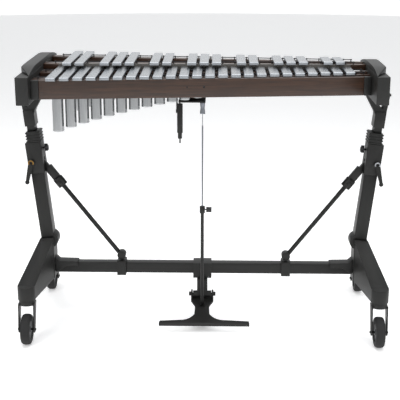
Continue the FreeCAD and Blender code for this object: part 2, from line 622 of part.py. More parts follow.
pedal_corners = [
    ("-bracket_half - 9", "14"), ("-bracket_half - 9", "-26"),
    ("-neck_half", "-60"), ("-neck_half - 2", "-pedal_reach + 58", 62, 1),
    ("-neck_half - 60", "-pedal_reach + 20"), ("-pedal_half + blade_shift", "-pedal_reach + 14"),
    ("-pedal_half - 3 + blade_shift", "-pedal_reach"), ("pedal_half + 3 + blade_shift", "-pedal_reach"),
    ("pedal_half + blade_shift", "-pedal_reach + 14"), ("neck_half + 60 + blade_shift", "-pedal_reach + 20", 70, 1),
    ("neck_half + 2", "-pedal_reach + 58"), ("neck_half", "-60"),
    ("bracket_half + 9", "-26"), ("bracket_half + 9", "14")]
pedal_plate = prism("pedal_plate", "XY_Plane", pedal_corners, "pedal_thick", (0, 0, -24))
pedal_parts = [
    pedal_plate,
    box("pedal_lip", ("-pedal_half - 3 + blade_shift", "-pedal_reach", -34), ("2 * pedal_half + 6", 5, 12)),
    box("pedal_ear_a", ("-bracket_half - 9", -14, -18), (7, 28, 30)),
    box("pedal_ear_b", ("bracket_half + 2", -14, -18), (7, 28, 30)),
    box("pedal_cheek_a", ("-pull_tube_radius - cheek_gap - 4", -68, -18), (4, 20, 20)),
    box("pedal_cheek_b", ("pull_tube_radius + cheek_gap", -68, -18), (4, 20, 20)),
    cylinder("pedal_pin", "pivot_radius", "2 * bracket_half + 34", ("-bracket_half - 17", 0, 0), "x"),
    cylinder("pedal_knob_a", 9, 9, ("-bracket_half - 18", 0, 0), "x"),
    cylinder("pedal_knob_b", 9, 9, ("bracket_half + 9", 0, 0), "x")]
pedal = fuse("pedal_solid", pedal_parts)
node(place(pedal, "rod_x", "pivot_y", "pivot_z", axis=(1, 0, 0), angle="pedal_slope"), "pedal")

clamp_block = box("pedal_clamp", ("rod_x - bracket_half", "-cross_half_y - 12", "cross_low - 16"),
                  ("2 * bracket_half", "2 * cross_half_y + 24", "cross_tall + 20"))
post_block = box("pedal_post", ("rod_x - 22", "pivot_y - 14", "pivot_z"), (44, 50, "cross_low - 16 - pivot_z"))
post_round = cylinder("pedal_post_round", 14, "2 * bracket_half", ("rod_x - bracket_half", "pivot_y", "pivot_z"), "x")
bracket = fuse("bracket_solid", [clamp_block, post_block, post_round])
bracket_holes = fuse("bracket_holes", [
    box("bracket_window", ("rod_x - bracket_half - 5", "-cross_half_y", "cross_low"),
        ("2 * bracket_half + 10", "2 * cross_half_y", "cross_tall")),
    cylinder("bracket_bore", "pivot_radius + axle_clearance", "2 * bracket_half + 10",
             ("rod_x - bracket_half - 5", "pivot_y", "pivot_z"), "x")])
node(cut("bracket_cut", bracket, bracket_holes), "pedal_bracket")


# ---------------------------------------------------------------- stand: columns, heads, braces, beam

def lean(item):
    """Stand a piece built about the knee on the leaning left column."""
    return place(item, "knee_x", 0, "knee_z", axis=(0, 1, 0), angle="-lean")


column_out = box("column_out", ("-column_wide / 2", "-column_deep / 2", 0), ("column_wide", "column_deep", "column_long"))
column_in = box("column_in", ("-column_wide / 2 + column_wall", "-column_deep / 2 + column_wall", 6),
                ("column_wide - 2 * column_wall", "column_deep - 2 * column_wall", "column_long"))
both_sides(lean(cut("column", column_out, column_in)), "lower_column")

LEVER_X = "-16"
LEVER_Z = "(column_long + 49)"
HEAD_FRONT = "(-head_deep / 2)"
COLLAR_LOW = "(column_long + head_long)"
head_parts = [
    box("head_block", ("-head_half", HEAD_FRONT, "column_long"), ("2 * head_half", "head_deep", "head_long")),
    box("head_collar", ("-head_half + 10", f"{HEAD_FRONT} + 4", COLLAR_LOW),
        ("2 * head_half - 10", "head_deep - 8", "collar_long")),
    cylinder("head_boss", "ring_radius + 2", 5, (LEVER_X, f"{HEAD_FRONT} - 5", LEVER_Z), "y")]
for rib in range(4):
    head_parts.append(box(f"head_rib_{rib}", ("-head_half + 7", f"{HEAD_FRONT} + 1", f"{COLLAR_LOW} + {2 + 12 * rib}"),
                          ("2 * head_half - 4", "head_deep - 2", 5)))
head_bore = fuse("head_bores", [
    box("head_guide", ("-inner_wide / 2 - slide_gap", "-inner_deep / 2 - slide_gap", "column_long - 1"),
        ("inner_wide + 2 * slide_gap", "inner_deep + 2 * slide_gap", "head_long + collar_long + 2")),
    cylinder("lever_bore", "4 + axle_clearance", 16, (LEVER_X, f"{HEAD_FRONT} - 6", LEVER_Z), "y"),
    box("brace_slot", ("pin_reach - 9", "-10.2", "brace_pin - 40"), (30, 20.4, 62)),
    cylinder("knob_bore", "4 + axle_clearance", 12, ("head_half - 10", 0, "star_rise"), "x")])
both_sides(lean(cut("head", fuse("head_solid", head_parts), head_bore)), "clamp_head")

LEVER_FRONT = f"({HEAD_FRONT} - 5.3)"
arm_corners = [(f"{LEVER_X} - 12", f"{LEVER_Z} - 4"), (f"{LEVER_X} + 10", f"{LEVER_Z} - 6"),
               (f"{LEVER_X} - 21", f"{LEVER_Z} - lever_long"), (f"{LEVER_X} - 33", f"{LEVER_Z} - lever_long + 2")]
lever_parts = [
    cylinder("lever_ring", "ring_radius", 6, (LEVER_X, f"{LEVER_FRONT} - 6", LEVER_Z), "y"),
    cylinder("lever_screw", 4, 19, (LEVER_X, f"{LEVER_FRONT} - 6", LEVER_Z), "y"),
    prism("lever_arm", "XZ_Plane", arm_corners, 10, (0, f"{LEVER_FRONT} - 5", 0)),
    ball("lever_ball", 9, (f"{LEVER_X} - 27", f"{LEVER_FRONT} - 10", f"{LEVER_Z} - lever_long"))]
both_sides(lean(fuse("lever", lever_parts)), "height_lever")

knob_x = "(head_half + 9)"
knob_parts = [cylinder("star_stem", 4, 22, ("head_half - 9", 0, "star_rise"), "x"),
              cylinder("star_hub", 10, 14, (knob_x, 0, "star_rise"), "x")]
for arm in range(5):
    turn = math.radians(72 * arm)
    knob_parts.append(cylinder(f"star_lobe_{arm}", 5, 12,
                               (knob_x, 11 * math.sin(turn), f"star_rise + {11 * math.cos(turn)}"), "x"))
both_sides(lean(fuse("star", knob_parts)), "star_knob")

PLATE_TOP = "(side_bottom - slide_gap)"
TOP_LOCAL = f"(({PLATE_TOP} - 76 - knee_z) / cos(lean))"
INNER_LOW = "(column_long - overlap_long)"
inner = cut("inner_tube", box("inner_out", ("-inner_wide / 2", "-inner_deep / 2", INNER_LOW),
                              ("inner_wide", "inner_deep", f"{TOP_LOCAL} - {INNER_LOW}")),
            box("inner_in", ("-inner_wide / 2 + inner_wall", "-inner_deep / 2 + inner_wall", f"{INNER_LOW} - 1"),
                ("inner_wide - 2 * inner_wall", "inner_deep - 2 * inner_wall", f"{TOP_LOCAL} - {INNER_LOW} - 8")))
SLEEVE_LOW = f"({COLLAR_LOW} + collar_long + sleeve_step)"
sleeve = box("sleeve", ("-inner_wide / 2 - 6", "-inner_deep / 2 - 6", SLEEVE_LOW),
             ("inner_wide + 12", "inner_deep + 12", f"{TOP_LOCAL} - {SLEEVE_LOW}"))
leaning = lean(fuse("inner_leaning", [inner, sleeve]))
top_x = f"(knee_x - tan(lean) * ({PLATE_TOP} - knee_z))"
plate = box("plate", (f"{top_x} - 27", "-plate_deep / 2", f"{PLATE_TOP} - plate_thick"),
            (99, "plate_deep", "plate_thick"))
# Forked bracket between sleeve and plate; corners are relative to the top of the column line.
fork_corners = [(-14, -84), (-27, -7), (-3, -7), (0, -64), (26, -37), (43, -7), (72, -7), (59, -32),
                (36, -74), (31, -90)]
fork = prism("fork", "XZ_Plane", [(f"{top_x} + {x}", f"{PLATE_TOP} + {z}") for x, z in fork_corners], 44,
             (0, 22, 0))
both_sides(fuse("upper", [leaning, plate, fork]), "upper_column")

# The brace runs from an eye on the cross beam up to the lug on the clamp head.
PIN_X = "(knee_x + pin_reach * cos(lean) - brace_pin * sin(lean))"
PIN_Z = "(knee_z + pin_reach * sin(lean) + brace_pin * cos(lean))"
BRACE_LONG = f"sqrt(({PIN_X} - brace_foot_x)^2 + ({PIN_Z} - brace_foot_z)^2)"
BRACE_TURN = f"-atan((brace_foot_x - {PIN_X}) / ({PIN_Z} - brace_foot_z))"


def on_brace(item):
    return place(item, "brace_foot_x", 0, "brace_foot_z", axis=(0, 1, 0), angle=BRACE_TURN)


both_sides(on_brace(cylinder("brace_low", "brace_radius", f"{BRACE_LONG} - 114", (0, 0, 10))), "brace_lower_tube")
collar = cut("collar", fuse("collar_solid", [
    cylinder("collar_ring", "brace_radius + 12", 40, (0, 0, f"{BRACE_LONG} - 128")),
    cylinder("collar_knob", 9, 24, (0, "-brace_radius - 32", f"{BRACE_LONG} - 108"), "y")]),
    cylinder("collar_bore", "brace_radius", 60, (0, 0, f"{BRACE_LONG} - 140")))
on_brace(collar)
node(group("collars", [collar, mirrored("collar_mirror", collar)]), "brace_collars")
upper_brace = cut("brace_up", fuse("brace_up_solid", [
    box("brace_up_bar", (-16, -10, f"{BRACE_LONG} - 87"), (32, 20, 61)),
    box("brace_up_neck", (-8, -10, f"{BRACE_LONG} - 30"), (16, 20, 30)),
    cylinder("brace_up_eye", 8, 20, (0, -10, BRACE_LONG), "y")]),
    cylinder("brace_up_bore", "brace_radius - 3", 22, (0, 0, f"{BRACE_LONG} - 88")))
both_sides(on_brace(upper_brace), "brace_upper_tube")
brace_clamp = cut("brace_clamp_cut", fuse("brace_clamp_solid", [
    box("brace_clamp_block", ("brace_foot_x - 19", "-cross_half_y - 8", "cross_low - 8"),
        (38, "2 * cross_half_y + 16", f"cross_tall + 16")),
    cylinder("brace_clamp_boss", 18, 34, ("brace_foot_x", -17, "brace_foot_z + 6"), "y")]),
    fuse("brace_clamp_holes", [
        box("brace_clamp_window", ("brace_foot_x - 30", "-cross_half_y", "cross_low"),
            (60, "2 * cross_half_y", "cross_tall")),
        on_brace(cylinder("brace_clamp_bore", "brace_radius", 60, (0, 0, 10)))]))
both_sides(brace_clamp, "brace_clamp")

SOCKET_END = "(knee_x + 26)"
node(box("cross", (SOCKET_END, "-cross_half_y", "cross_low"), (f"-2 * {SOCKET_END}", "2 * cross_half_y", "cross_tall")),
     "cross_beam")
saddle_corners = [(SOCKET_END, "cross_low + 8"), (SOCKET_END, "cross_high + 22"),
                  (f"{SOCKET_END} + 18", "cross_high + 6"), (f"{SOCKET_END} + socket_long", "cross_high + 4"),
                  (f"{SOCKET_END} + socket_long", "cross_high - 16"), (f"{SOCKET_END} + 45", "cross_high - 18"),
                  (f"{SOCKET_END} + 14", "cross_low + 8")]
saddle = prism("saddle", "XZ_Plane", saddle_corners, "2 * cross_half_y + 10", (0, "cross_half_y + 5", 0))
socket = cut("socket", saddle, box("socket_window", (SOCKET_END, "-cross_half_y", "cross_low"),
                                   ("socket_long + 20", "2 * cross_half_y", "cross_tall")))
both_sides(socket, "beam_socket")

# Cast foot: a knee block, two arms that spread down to the castors and a round pad at each end.
KNEE_LOW = "foot_bottom"
knee = box("knee", ("knee_x - 30", -44, KNEE_LOW), (56, 88, f"knee_z + 3 - {KNEE_LOW}"))
boss = cylinder("knee_boss", 34, 60, ("knee_x + 10", -30, "knee_z - 11"), "y")
arms = [knee, boss]
stem_hole = []
for tag, sign in (("front", -1), ("back", 1)):
    inner_end = frame_sketch(f"arm_{tag}_in", 56, f"knee_z - {KNEE_LOW}", "knee_x - 2", f"{sign * 30}",
                             f"(knee_z + {KNEE_LOW}) / 2")
    outer_end = frame_sketch(f"arm_{tag}_out", 72, "foot_top - foot_bottom", "foot_x", f"{sign} * foot_y",
                             "(foot_top + foot_bottom) / 2")
    arms.append(loft(f"arm_{tag}", [inner_end, outer_end]))
    arms.append(cylinder(f"pad_{tag}", 36, "foot_top - foot_bottom", ("foot_x", f"{sign} * foot_y", "foot_bottom")))
    stem_hole.append(cylinder(f"stem_hole_{tag}", "8 + axle_clearance", 30, ("foot_x", f"{sign} * foot_y",
                                                                              "foot_bottom - 1")))
knee_seat = lean(group("knee_seat", [
    box("knee_seat_block", (-60, -60, 0), ("60 + column_wide / 2 + 0.3", 120, 90))]))
foot = cut("foot", fuse("foot_solid", arms), fuse("foot_cuts", stem_hole + [knee_seat]))
both_sides(foot, "foot")


# ---------------------------------------------------------------- castors

AXLE_Z = "wheel_radius"
FORK_IN = "(wheel_wide / 2 + fork_side_gap)"
FORK_TOP = "(foot_bottom - slide_gap)"


def castor(tag, sign):
    """Swivel fork with its stem and axle, and a wheel, at one corner of the stand."""
    stem_y = f"({sign} * foot_y)"
    axle_y = f"({sign} * (foot_y + trail))"
    crown_low = f"({FORK_TOP} - 22)"
    crown = cylinder(f"crown_{tag}", 33, 22, ("foot_x", stem_y, crown_low))
    stem = cylinder(f"stem_{tag}", 8, 24, ("foot_x", stem_y, f"{FORK_TOP} - 4"))
    shelf = box(f"shelf_{tag}", (f"foot_x - {FORK_IN} - fork_wall", f"{stem_y} - 24", crown_low),
                (f"2 * {FORK_IN} + 2 * fork_wall", 48, 8))
    parts = [crown, stem, shelf]
    arm_corners = [(f"{stem_y} - 24", f"{crown_low} + 8"), (f"{axle_y} - 14", AXLE_Z), (f"{axle_y} + 14", AXLE_Z),
                   (f"{stem_y} + 24", f"{crown_low} + 8")]
    for side, x in (("a", f"foot_x - {FORK_IN} - fork_wall"), ("b", f"foot_x + {FORK_IN}")):
        parts.append(prism(f"fork_{tag}_{side}", "YZ_Plane", arm_corners, "fork_wall", (x, 0, 0)))
        parts.append(cylinder(f"fork_eye_{tag}_{side}", 14, "fork_wall", (x, axle_y, AXLE_Z), "x"))
    parts.append(cylinder(f"axle_{tag}", "axle_radius", f"2 * {FORK_IN} + 2 * fork_wall + 8",
                          (f"foot_x - {FORK_IN} - fork_wall - 4", axle_y, AXLE_Z), "x"))
    both_sides(fuse(f"fork_{tag}", parts), f"castor_fork_{tag}")
    rim = cylinder(f"rim_{tag}", "wheel_radius", "wheel_wide", ("foot_x - wheel_wide / 2", axle_y, AXLE_Z), "x")
    bore = cylinder(f"bore_{tag}", "axle_radius + axle_clearance", "wheel_wide + 4",
                    ("foot_x - wheel_wide / 2 - 2", axle_y, AXLE_Z), "x")
    both_sides(cut(f"wheel_{tag}", rim, bore), f"castor_wheel_{tag}")


castor("front", -1)
castor("back", 1)


# ---------------------------------------------------------------- checks and export

doc.recompute()
failed = [item.Label for item in doc.Objects if {"Invalid", "Error"} & set(item.State)]
failed += [item.Label for item in nodes if item.Shape.isNull() or not item.Shape.isValid()]
if failed:
    raise RuntimeError("not built: " + ", ".join(failed))

os.makedirs("parts", exist_ok=True)
for item in nodes:
    item.Shape.exportStep(os.path.join("parts", item.Label + ".step"))
print(len(nodes), "sub-parts written")
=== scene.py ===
import bmesh
import bpy
import json
import math
from mathutils import Matrix, Vector


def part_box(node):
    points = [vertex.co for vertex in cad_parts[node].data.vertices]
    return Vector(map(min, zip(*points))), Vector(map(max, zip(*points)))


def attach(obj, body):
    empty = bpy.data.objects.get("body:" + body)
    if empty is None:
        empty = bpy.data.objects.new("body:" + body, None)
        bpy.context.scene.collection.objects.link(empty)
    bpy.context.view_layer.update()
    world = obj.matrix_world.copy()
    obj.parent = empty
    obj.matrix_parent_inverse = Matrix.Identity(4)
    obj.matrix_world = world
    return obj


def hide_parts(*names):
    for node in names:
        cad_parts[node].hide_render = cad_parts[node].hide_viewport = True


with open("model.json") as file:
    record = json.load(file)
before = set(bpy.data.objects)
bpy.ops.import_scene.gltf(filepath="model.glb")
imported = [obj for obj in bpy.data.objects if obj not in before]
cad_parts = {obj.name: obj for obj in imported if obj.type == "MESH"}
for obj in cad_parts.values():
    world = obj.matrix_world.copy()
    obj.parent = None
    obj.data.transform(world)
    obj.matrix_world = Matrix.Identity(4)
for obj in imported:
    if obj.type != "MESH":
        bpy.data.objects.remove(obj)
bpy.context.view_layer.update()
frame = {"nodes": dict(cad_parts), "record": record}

# ------------------------------------------------------------------ studio: floor, light, camera
# A seamless white floor under a soft overhead sheet and two side banks, as in a product
# studio. The camera stands in front of the player's side, a little above the bars.


def linear(code):
    """sRGB hex code to a linear RGBA colour."""
    parts = [int(code[i:i + 2], 16) / 255 for i in (1, 3, 5)]
    return tuple(c / 12.92 if c <= 0.04045 else ((c + 0.055) / 1.055) ** 2.4 for c in parts) + (1.0,)


def add_node(tree, kind, settings=None, links=None):
    """Add a shader node, set its properties or sockets, and link its inputs."""
    made = tree.nodes.new(kind)
    for key, value in (settings or {}).items():
        if isinstance(key, str) and hasattr(made, key):
            setattr(made, key, value)
        else:
            made.inputs[key].default_value = value
    for key, (source, output) in (links or {}).items():
        tree.links.new(source.outputs[output], made.inputs[key])
    return made


def ramp_stops(ramp, stops):
    """Set a colour ramp's stops from (position, hex code) pairs."""
    for index, (position, code) in enumerate(stops):
        element = ramp.color_ramp.elements[index] if index < 2 else ramp.color_ramp.elements.new(position)
        element.position = position
        element.color = linear(code)


scene = bpy.context.scene
scene.view_settings.view_transform = "Standard"

# Reflections see white in front, behind and above, and near black far to the sides, which gives
# the polished tubes bright middles and dark edges. The camera itself sees plain white.
world = bpy.data.worlds.new("studio")
scene.world = world
world.use_nodes = True
sky = world.node_tree
sky.nodes.clear()
direction = add_node(sky, "ShaderNodeTexCoord")
split = add_node(sky, "ShaderNodeSeparateXYZ", links={0: (direction, "Generated")})
side = add_node(sky, "ShaderNodeMath", {"operation": "ABSOLUTE"}, {0: (split, "X")})
banks = add_node(sky, "ShaderNodeValToRGB", links={"Fac": (side, 0)})
ramp_stops(banks, [(0.0, "#ffffff"), (0.3, "#eef0f2"), (0.55, "#4a4c50"), (0.9, "#1b1c1e")])
studio_light = add_node(sky, "ShaderNodeBackground", {"Strength": 1.0}, {"Color": (banks, "Color")})
backdrop = add_node(sky, "ShaderNodeBackground", {"Color": linear("#ffffff"), "Strength": 1.05})
ray = add_node(sky, "ShaderNodeLightPath")
pick = add_node(sky, "ShaderNodeMixShader",
                links={0: (ray, "Is Camera Ray"), 1: (studio_light, 0), 2: (backdrop, 0)})
add_node(sky, "ShaderNodeOutputWorld", links={0: (pick, 0)})

# White satin floor; a faint glow of its own brings it up to the white of the backdrop.
FLOOR_RADIUS = 14
floor_mesh = bpy.data.meshes.new("studio_floor")
bm = bmesh.new()
bmesh.ops.create_circle(bm, cap_ends=True, segments=64, radius=FLOOR_RADIUS)
bm.to_mesh(floor_mesh)
bm.free()
floor = bpy.data.objects.new("studio_floor", floor_mesh)
scene.collection.objects.link(floor)
floor_paint = bpy.data.materials.new("white studio floor, satin")
floor_paint.use_nodes = True
floor_shader = floor_paint.node_tree.nodes["Principled BSDF"]
floor_shader.inputs["Base Color"].default_value = linear("#ffffff")
floor_shader.inputs["Roughness"].default_value = 0.6
floor_shader.inputs["Specular IOR Level"].default_value = 0.2
floor_shader.inputs["Emission Color"].default_value = linear("#ffffff")
floor_shader.inputs["Emission Strength"].default_value = 0.3
floor.data.materials.append(floor_paint)


def area_light(name, place, aim, wide, tall, watts):
    """Soft rectangular studio light."""
    lamp = bpy.data.lights.new(name, "AREA")
    lamp.shape = "RECTANGLE"
    lamp.size = wide
    lamp.size_y = tall
    lamp.energy = watts
    holder = bpy.data.objects.new(name, lamp)
    scene.collection.objects.link(holder)
    holder.location = place
    holder.rotation_euler = (Vector(aim) - Vector(place)).to_track_quat("-Z", "Y").to_euler()


# Each light: name, place and aim in metres, width and height in metres, watts.
area_light("overhead_sheet", (0, -0.2, 3.4), (0, 0, 0.5), 3.6, 2.6, 95)
area_light("left_bank", (-3.0, -2.6, 2.4), (0, 0, 0.7), 1.6, 2.2, 60)
area_light("right_bank", (3.2, -2.2, 2.2), (0, 0, 0.7), 1.6, 2.2, 52)

# Camera place in metres; turn, pitch and roll in radians.
CAMERA_PLACE = Vector((0.0491, -3.8354, 1.6565))
CAMERA_TURN, CAMERA_PITCH, CAMERA_ROLL = 0.017, 0.287, 0.002
CAMERA_LENS_MM = 85.37
camera_data = bpy.data.cameras.new("camera")
camera_data.lens = CAMERA_LENS_MM
camera_data.sensor_width = 36
camera = bpy.data.objects.new("camera", camera_data)
scene.collection.objects.link(camera)
camera.matrix_world = (Matrix.Translation(CAMERA_PLACE)
                       @ Matrix.Rotation(CAMERA_TURN, 4, "Z")
                       @ Matrix.Rotation(math.pi / 2 - CAMERA_PITCH, 4, "X")
                       @ Matrix.Rotation(CAMERA_ROLL, 4, "Z"))
scene.camera = camera

# ------------------------------------------------------------------ tone bars
# Milled aluminium bars, anodised satin silver: flat tops with softened edges and an arch
# milled out of the underside for tuning. They hang on cords over the wooden rails.

MM = 0.001


def material(name, code, metallic, roughness, **more):
    """New material with a principled shader; more sockets by name with _ for spaces."""
    made = bpy.data.materials.new(name)
    made.use_nodes = True
    shader = made.node_tree.nodes["Principled BSDF"]
    shader.inputs["Base Color"].default_value = linear(code)
    shader.inputs["Metallic"].default_value = metallic
    shader.inputs["Roughness"].default_value = roughness
    for key, value in more.items():
        shader.inputs[key.replace("_", " ")].default_value = value
    return made


def textured(made, grain_mm, stretch, low, high, rough_low, rough_high, bump=0.1, depth_mm=0.2):
    """Noise with a real grain size in mm drives colour, roughness and bump of a material."""
    tree = made.node_tree
    shader = tree.nodes["Principled BSDF"]
    where = add_node(tree, "ShaderNodeTexCoord")
    mapping = add_node(tree, "ShaderNodeMapping", {"Scale": tuple(1 / (grain_mm * MM * s) for s in stretch)},
                       {"Vector": (where, "Object")})
    noise = add_node(tree, "ShaderNodeTexNoise", {"Scale": 1.0, "Detail": 4, "Roughness": 0.6},
                     {"Vector": (mapping, 0)})
    colours = add_node(tree, "ShaderNodeValToRGB", links={"Fac": (noise, "Fac")})
    ramp_stops(colours, [(0.3, low), (0.7, high)])
    tree.links.new(colours.outputs["Color"], shader.inputs["Base Color"])
    shine = add_node(tree, "ShaderNodeMapRange", {"To Min": rough_low, "To Max": rough_high},
                     {"Value": (noise, "Fac")})
    tree.links.new(shine.outputs["Result"], shader.inputs["Roughness"])
    relief = add_node(tree, "ShaderNodeBump", {"Strength": bump, "Distance": depth_mm * MM},
                      {"Height": (noise, "Fac")})
    tree.links.new(relief.outputs["Normal"], shader.inputs["Normal"])


def solids(node):
    """(low, high) corners of every separate solid of a CAD node, from low x to high x."""
    copy = bmesh.new()
    copy.from_mesh(frame["nodes"][node].data)
    bmesh.ops.remove_doubles(copy, verts=copy.verts, dist=1e-6)
    left, found = set(copy.verts), []
    while left:
        wave = [left.pop()]
        members = list(wave)
        while wave:
            for edge in wave.pop().link_edges:
                for vert in edge.verts:
                    if vert in left:
                        left.remove(vert)
                        wave.append(vert)
                        members.append(vert)
        found.append((Vector([min(v.co[i] for v in members) for i in range(3)]),
                      Vector([max(v.co[i] for v in members) for i in range(3)])))
    copy.free()
    return sorted(found, key=lambda pair: pair[0].x)


def block(bm, low, high):
    """Box between two corners; returns its vertices."""
    low, high = Vector(low), Vector(high)
    place = Matrix.Translation((low + high) / 2) @ Matrix.Diagonal((*(high - low), 1))
    return bmesh.ops.create_cube(bm, size=1, matrix=place)["verts"]


def sharp_edges(bm, degrees=30):
    """Edges where two faces meet at more than an angle."""
    limit = math.radians(degrees)
    return [e for e in bm.edges if len(e.link_faces) == 2 and e.calc_face_angle(0) > limit]


def soften(bm, edges, width, segments=2):
    """Round the given edges."""
    bmesh.ops.bevel(bm, geom=edges, offset=width, offset_type="OFFSET", segments=segments, profile=0.5,
                    affect="EDGES", clamp_overlap=True, material=-1)


SHARP_ABOVE = math.radians(32)


def piece(name, bm, finish, body, replaced=()):
    """Turn a bmesh into a finished piece that rides on a body."""
    mesh = bpy.data.meshes.new(name)
    bm.normal_update()
    bm.to_mesh(mesh)
    bm.free()
    mesh.shade_smooth()
    mesh.set_sharp_from_angle(angle=SHARP_ABOVE)
    made = bpy.data.objects.new(name, mesh)
    scene.collection.objects.link(made)
    made.data.materials.append(finish)
    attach(made, body)
    if replaced:
        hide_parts(*replaced)


# Anodising leaves a soft, slightly streaky satin silver, with grain along each bar.
bar_finish = material("satin anodised aluminium, bars", "#a9adb2", 1.0, 0.28)
textured(bar_finish, 1.2, (1, 30, 1), "#9fa3a8", "#b2b6ba", 0.22, 0.34, bump=0.05)

BAR_EDGE = 2.4 * MM
ARCH_RISE = 4.5 * MM
ARCH_SHARE = 0.55
ARCH_CUTS = 11
CORNER_TALL = 5 * MM
CORNER_DEGREES = 60
TOUCH = 1e-6
for node, name in (("natural_bars", "natural_tone_bars"), ("accidental_bars", "accidental_tone_bars")):
    bm = bmesh.new()
    for low, high in solids(node):
        verts = block(bm, low, high)
        edges = list({e for v in verts for e in v.link_edges})
        along = [e for e in edges if abs((e.verts[0].co - e.verts[1].co).normalized().y) > 0.9]
        bmesh.ops.subdivide_edges(bm, edges=along, cuts=ARCH_CUTS, use_grid_fill=True)
        middle, half = (low.y + high.y) / 2, (high.y - low.y) / 2
        underside = [v for v in bm.verts
                     if low.x - TOUCH < v.co.x < high.x + TOUCH and abs(v.co.z - low.z) < TOUCH]
        for vert in underside:
            share = abs(vert.co.y - middle) / half
            if share < ARCH_SHARE:
                vert.co.z += ARCH_RISE * (1 + math.cos(math.pi * share / ARCH_SHARE)) / 2
    top = max(v.co.z for v in bm.verts) - 10 * TOUCH
    rim = []
    for edge in sharp_edges(bm, CORNER_DEGREES):
        heights = sorted(v.co.z for v in edge.verts)
        if heights[0] > top or heights[1] - heights[0] > CORNER_TALL:
            rim.append(edge)
    soften(bm, rim, BAR_EDGE, 3)
    piece(name, bm, bar_finish, "keyboard", [node])

# ------------------------------------------------------------------ cords and posts
# Braided nylon cord threads every bar and the eyes of rubber-sleeved steel posts, which stand
# in the rails between the bars.

# Braided nylon: dull black with a coarse, uneven weave.
cord_finish = material("black braided nylon cord", "#17171a", 0.0, 0.85)
textured(cord_finish, 1.0, (1, 1, 1), "#0e0e10", "#2a2a2e", 0.75, 0.95, bump=0.5)
# Moulded rubber sleeves: dark grey-black with a low, even sheen.
post_finish = material("moulded black rubber, posts", "#1b1b1c", 0.0, 0.6)
textured(post_finish, 0.8, (1, 1, 1), "#151516", "#242426", 0.5, 0.7, bump=0.15)


def rod(bm, start, end, radius, end_radius=None, segments=24):
    """Round rod or cone between two points."""
    start, end = Vector(start), Vector(end)
    turn = (end - start).to_track_quat("Z", "Y").to_matrix().to_4x4()
    bmesh.ops.create_cone(bm, cap_ends=True, segments=segments, radius1=radius,
                          radius2=radius if end_radius is None else end_radius, depth=(end - start).length,
                          matrix=Matrix.Translation((start + end) / 2) @ turn)


def dress(node, finish):
    """Give a CAD node that stays visible its real finish."""
    frame["nodes"][node].data.materials.clear()
    frame["nodes"][node].data.materials.append(finish)


# Each post narrows to a neck and carries a small cap over the eye for the cord.
NECK_LONG = 9 * MM
NECK_SHARE = 0.62
NECK_SHORT = 1 * MM
CAP_TALL = 1.6 * MM
CAP_FOOT_SHARE, CAP_TIP_SHARE = 0.9, 0.6
POST_SIDES = 12
bm = bmesh.new()
for low, high in solids("cord_posts"):
    x, y = (low.x + high.x) / 2, (low.y + high.y) / 2
    radius = (high.x - low.x) / 2
    rod(bm, (x, y, low.z), (x, y, high.z - NECK_LONG), radius, segments=POST_SIDES)
    rod(bm, (x, y, high.z - NECK_LONG), (x, y, high.z - NECK_SHORT), radius * NECK_SHARE,
        segments=POST_SIDES)
    rod(bm, (x, y, high.z - CAP_TALL), (x, y, high.z), radius * CAP_FOOT_SHARE,
        radius * CAP_TIP_SHARE, segments=POST_SIDES)
piece("cord_post_set", bm, post_finish, "keyboard", ["cord_posts"])
dress("bar_cords", cord_finish)

# ------------------------------------------------------------------ rails
# Four hardwood rails, stained dark walnut and lacquered satin, run between the end frames
# under the bars and hold the cord posts.

# Stained hardwood: dark warm brown with long streaks, fine pores and a thin satin lacquer.
wood_finish = material("dark stained hardwood, satin lacquer", "#331d12", 0.0, 0.38,
                       Coat_Weight=0.15, Coat_Roughness=0.2)
GRAIN_MM = (220, 20, 6)
PORE_MM = (30, 2, 1.2)
wood_tree = wood_finish.node_tree
wood_shader = wood_tree.nodes["Principled BSDF"]
wood_place = add_node(wood_tree, "ShaderNodeTexCoord")
grain_map = add_node(wood_tree, "ShaderNodeMapping", {"Scale": tuple(1 / (size * MM) for size in GRAIN_MM)},
                     {"Vector": (wood_place, "Object")})
grain = add_node(wood_tree, "ShaderNodeTexNoise",
                 {"Scale": 1.0, "Detail": 8, "Roughness": 0.62, "Distortion": 0.6},
                 {"Vector": (grain_map, 0)})
grain_colour = add_node(wood_tree, "ShaderNodeValToRGB", links={"Fac": (grain, "Fac")})
ramp_stops(grain_colour, [(0.28, "#1a0e07"), (0.5, "#301c0f"), (0.75, "#422a1b")])
wood_tree.links.new(grain_colour.outputs["Color"], wood_shader.inputs["Base Color"])
pore_map = add_node(wood_tree, "ShaderNodeMapping", {"Scale": tuple(1 / (size * MM) for size in PORE_MM)},
                    {"Vector": (wood_place, "Object")})
pores = add_node(wood_tree, "ShaderNodeTexNoise", {"Scale": 1.0, "Detail": 3}, {"Vector": (pore_map, 0)})
pore_relief = add_node(wood_tree, "ShaderNodeBump", {"Strength": 0.18, "Distance": 0.3 * MM},
                       {"Height": (pores, "Fac")})
wood_tree.links.new(pore_relief.outputs["Normal"], wood_shader.inputs["Normal"])


def cad_piece(name, node, width, finish, body, segments=2):
    """A merged copy of a CAD node with its hard edges rounded, as a finished piece."""
    bm = bmesh.new()
    bm.from_mesh(frame["nodes"][node].data)
    bmesh.ops.remove_doubles(bm, verts=bm.verts, dist=2 * TOUCH)
    bmesh.ops.dissolve_limit(bm, angle_limit=math.radians(1), verts=bm.verts, edges=bm.edges)
    soften(bm, sharp_edges(bm), width, segments)
    piece(name, bm, finish, body, [node])


cad_piece("natural_rail_pair", "natural_rails", 1.5 * MM, wood_finish, "keyboard")
cad_piece("accidental_rail_pair", "accidental_rails", 1.5 * MM, wood_finish, "keyboard")

# ------------------------------------------------------------------ front board
# A hardwood board of the same make stands in front of the bars, carried at both ends by end
# pieces that are powder coated charcoal. A screw head and a plug show near its middle.

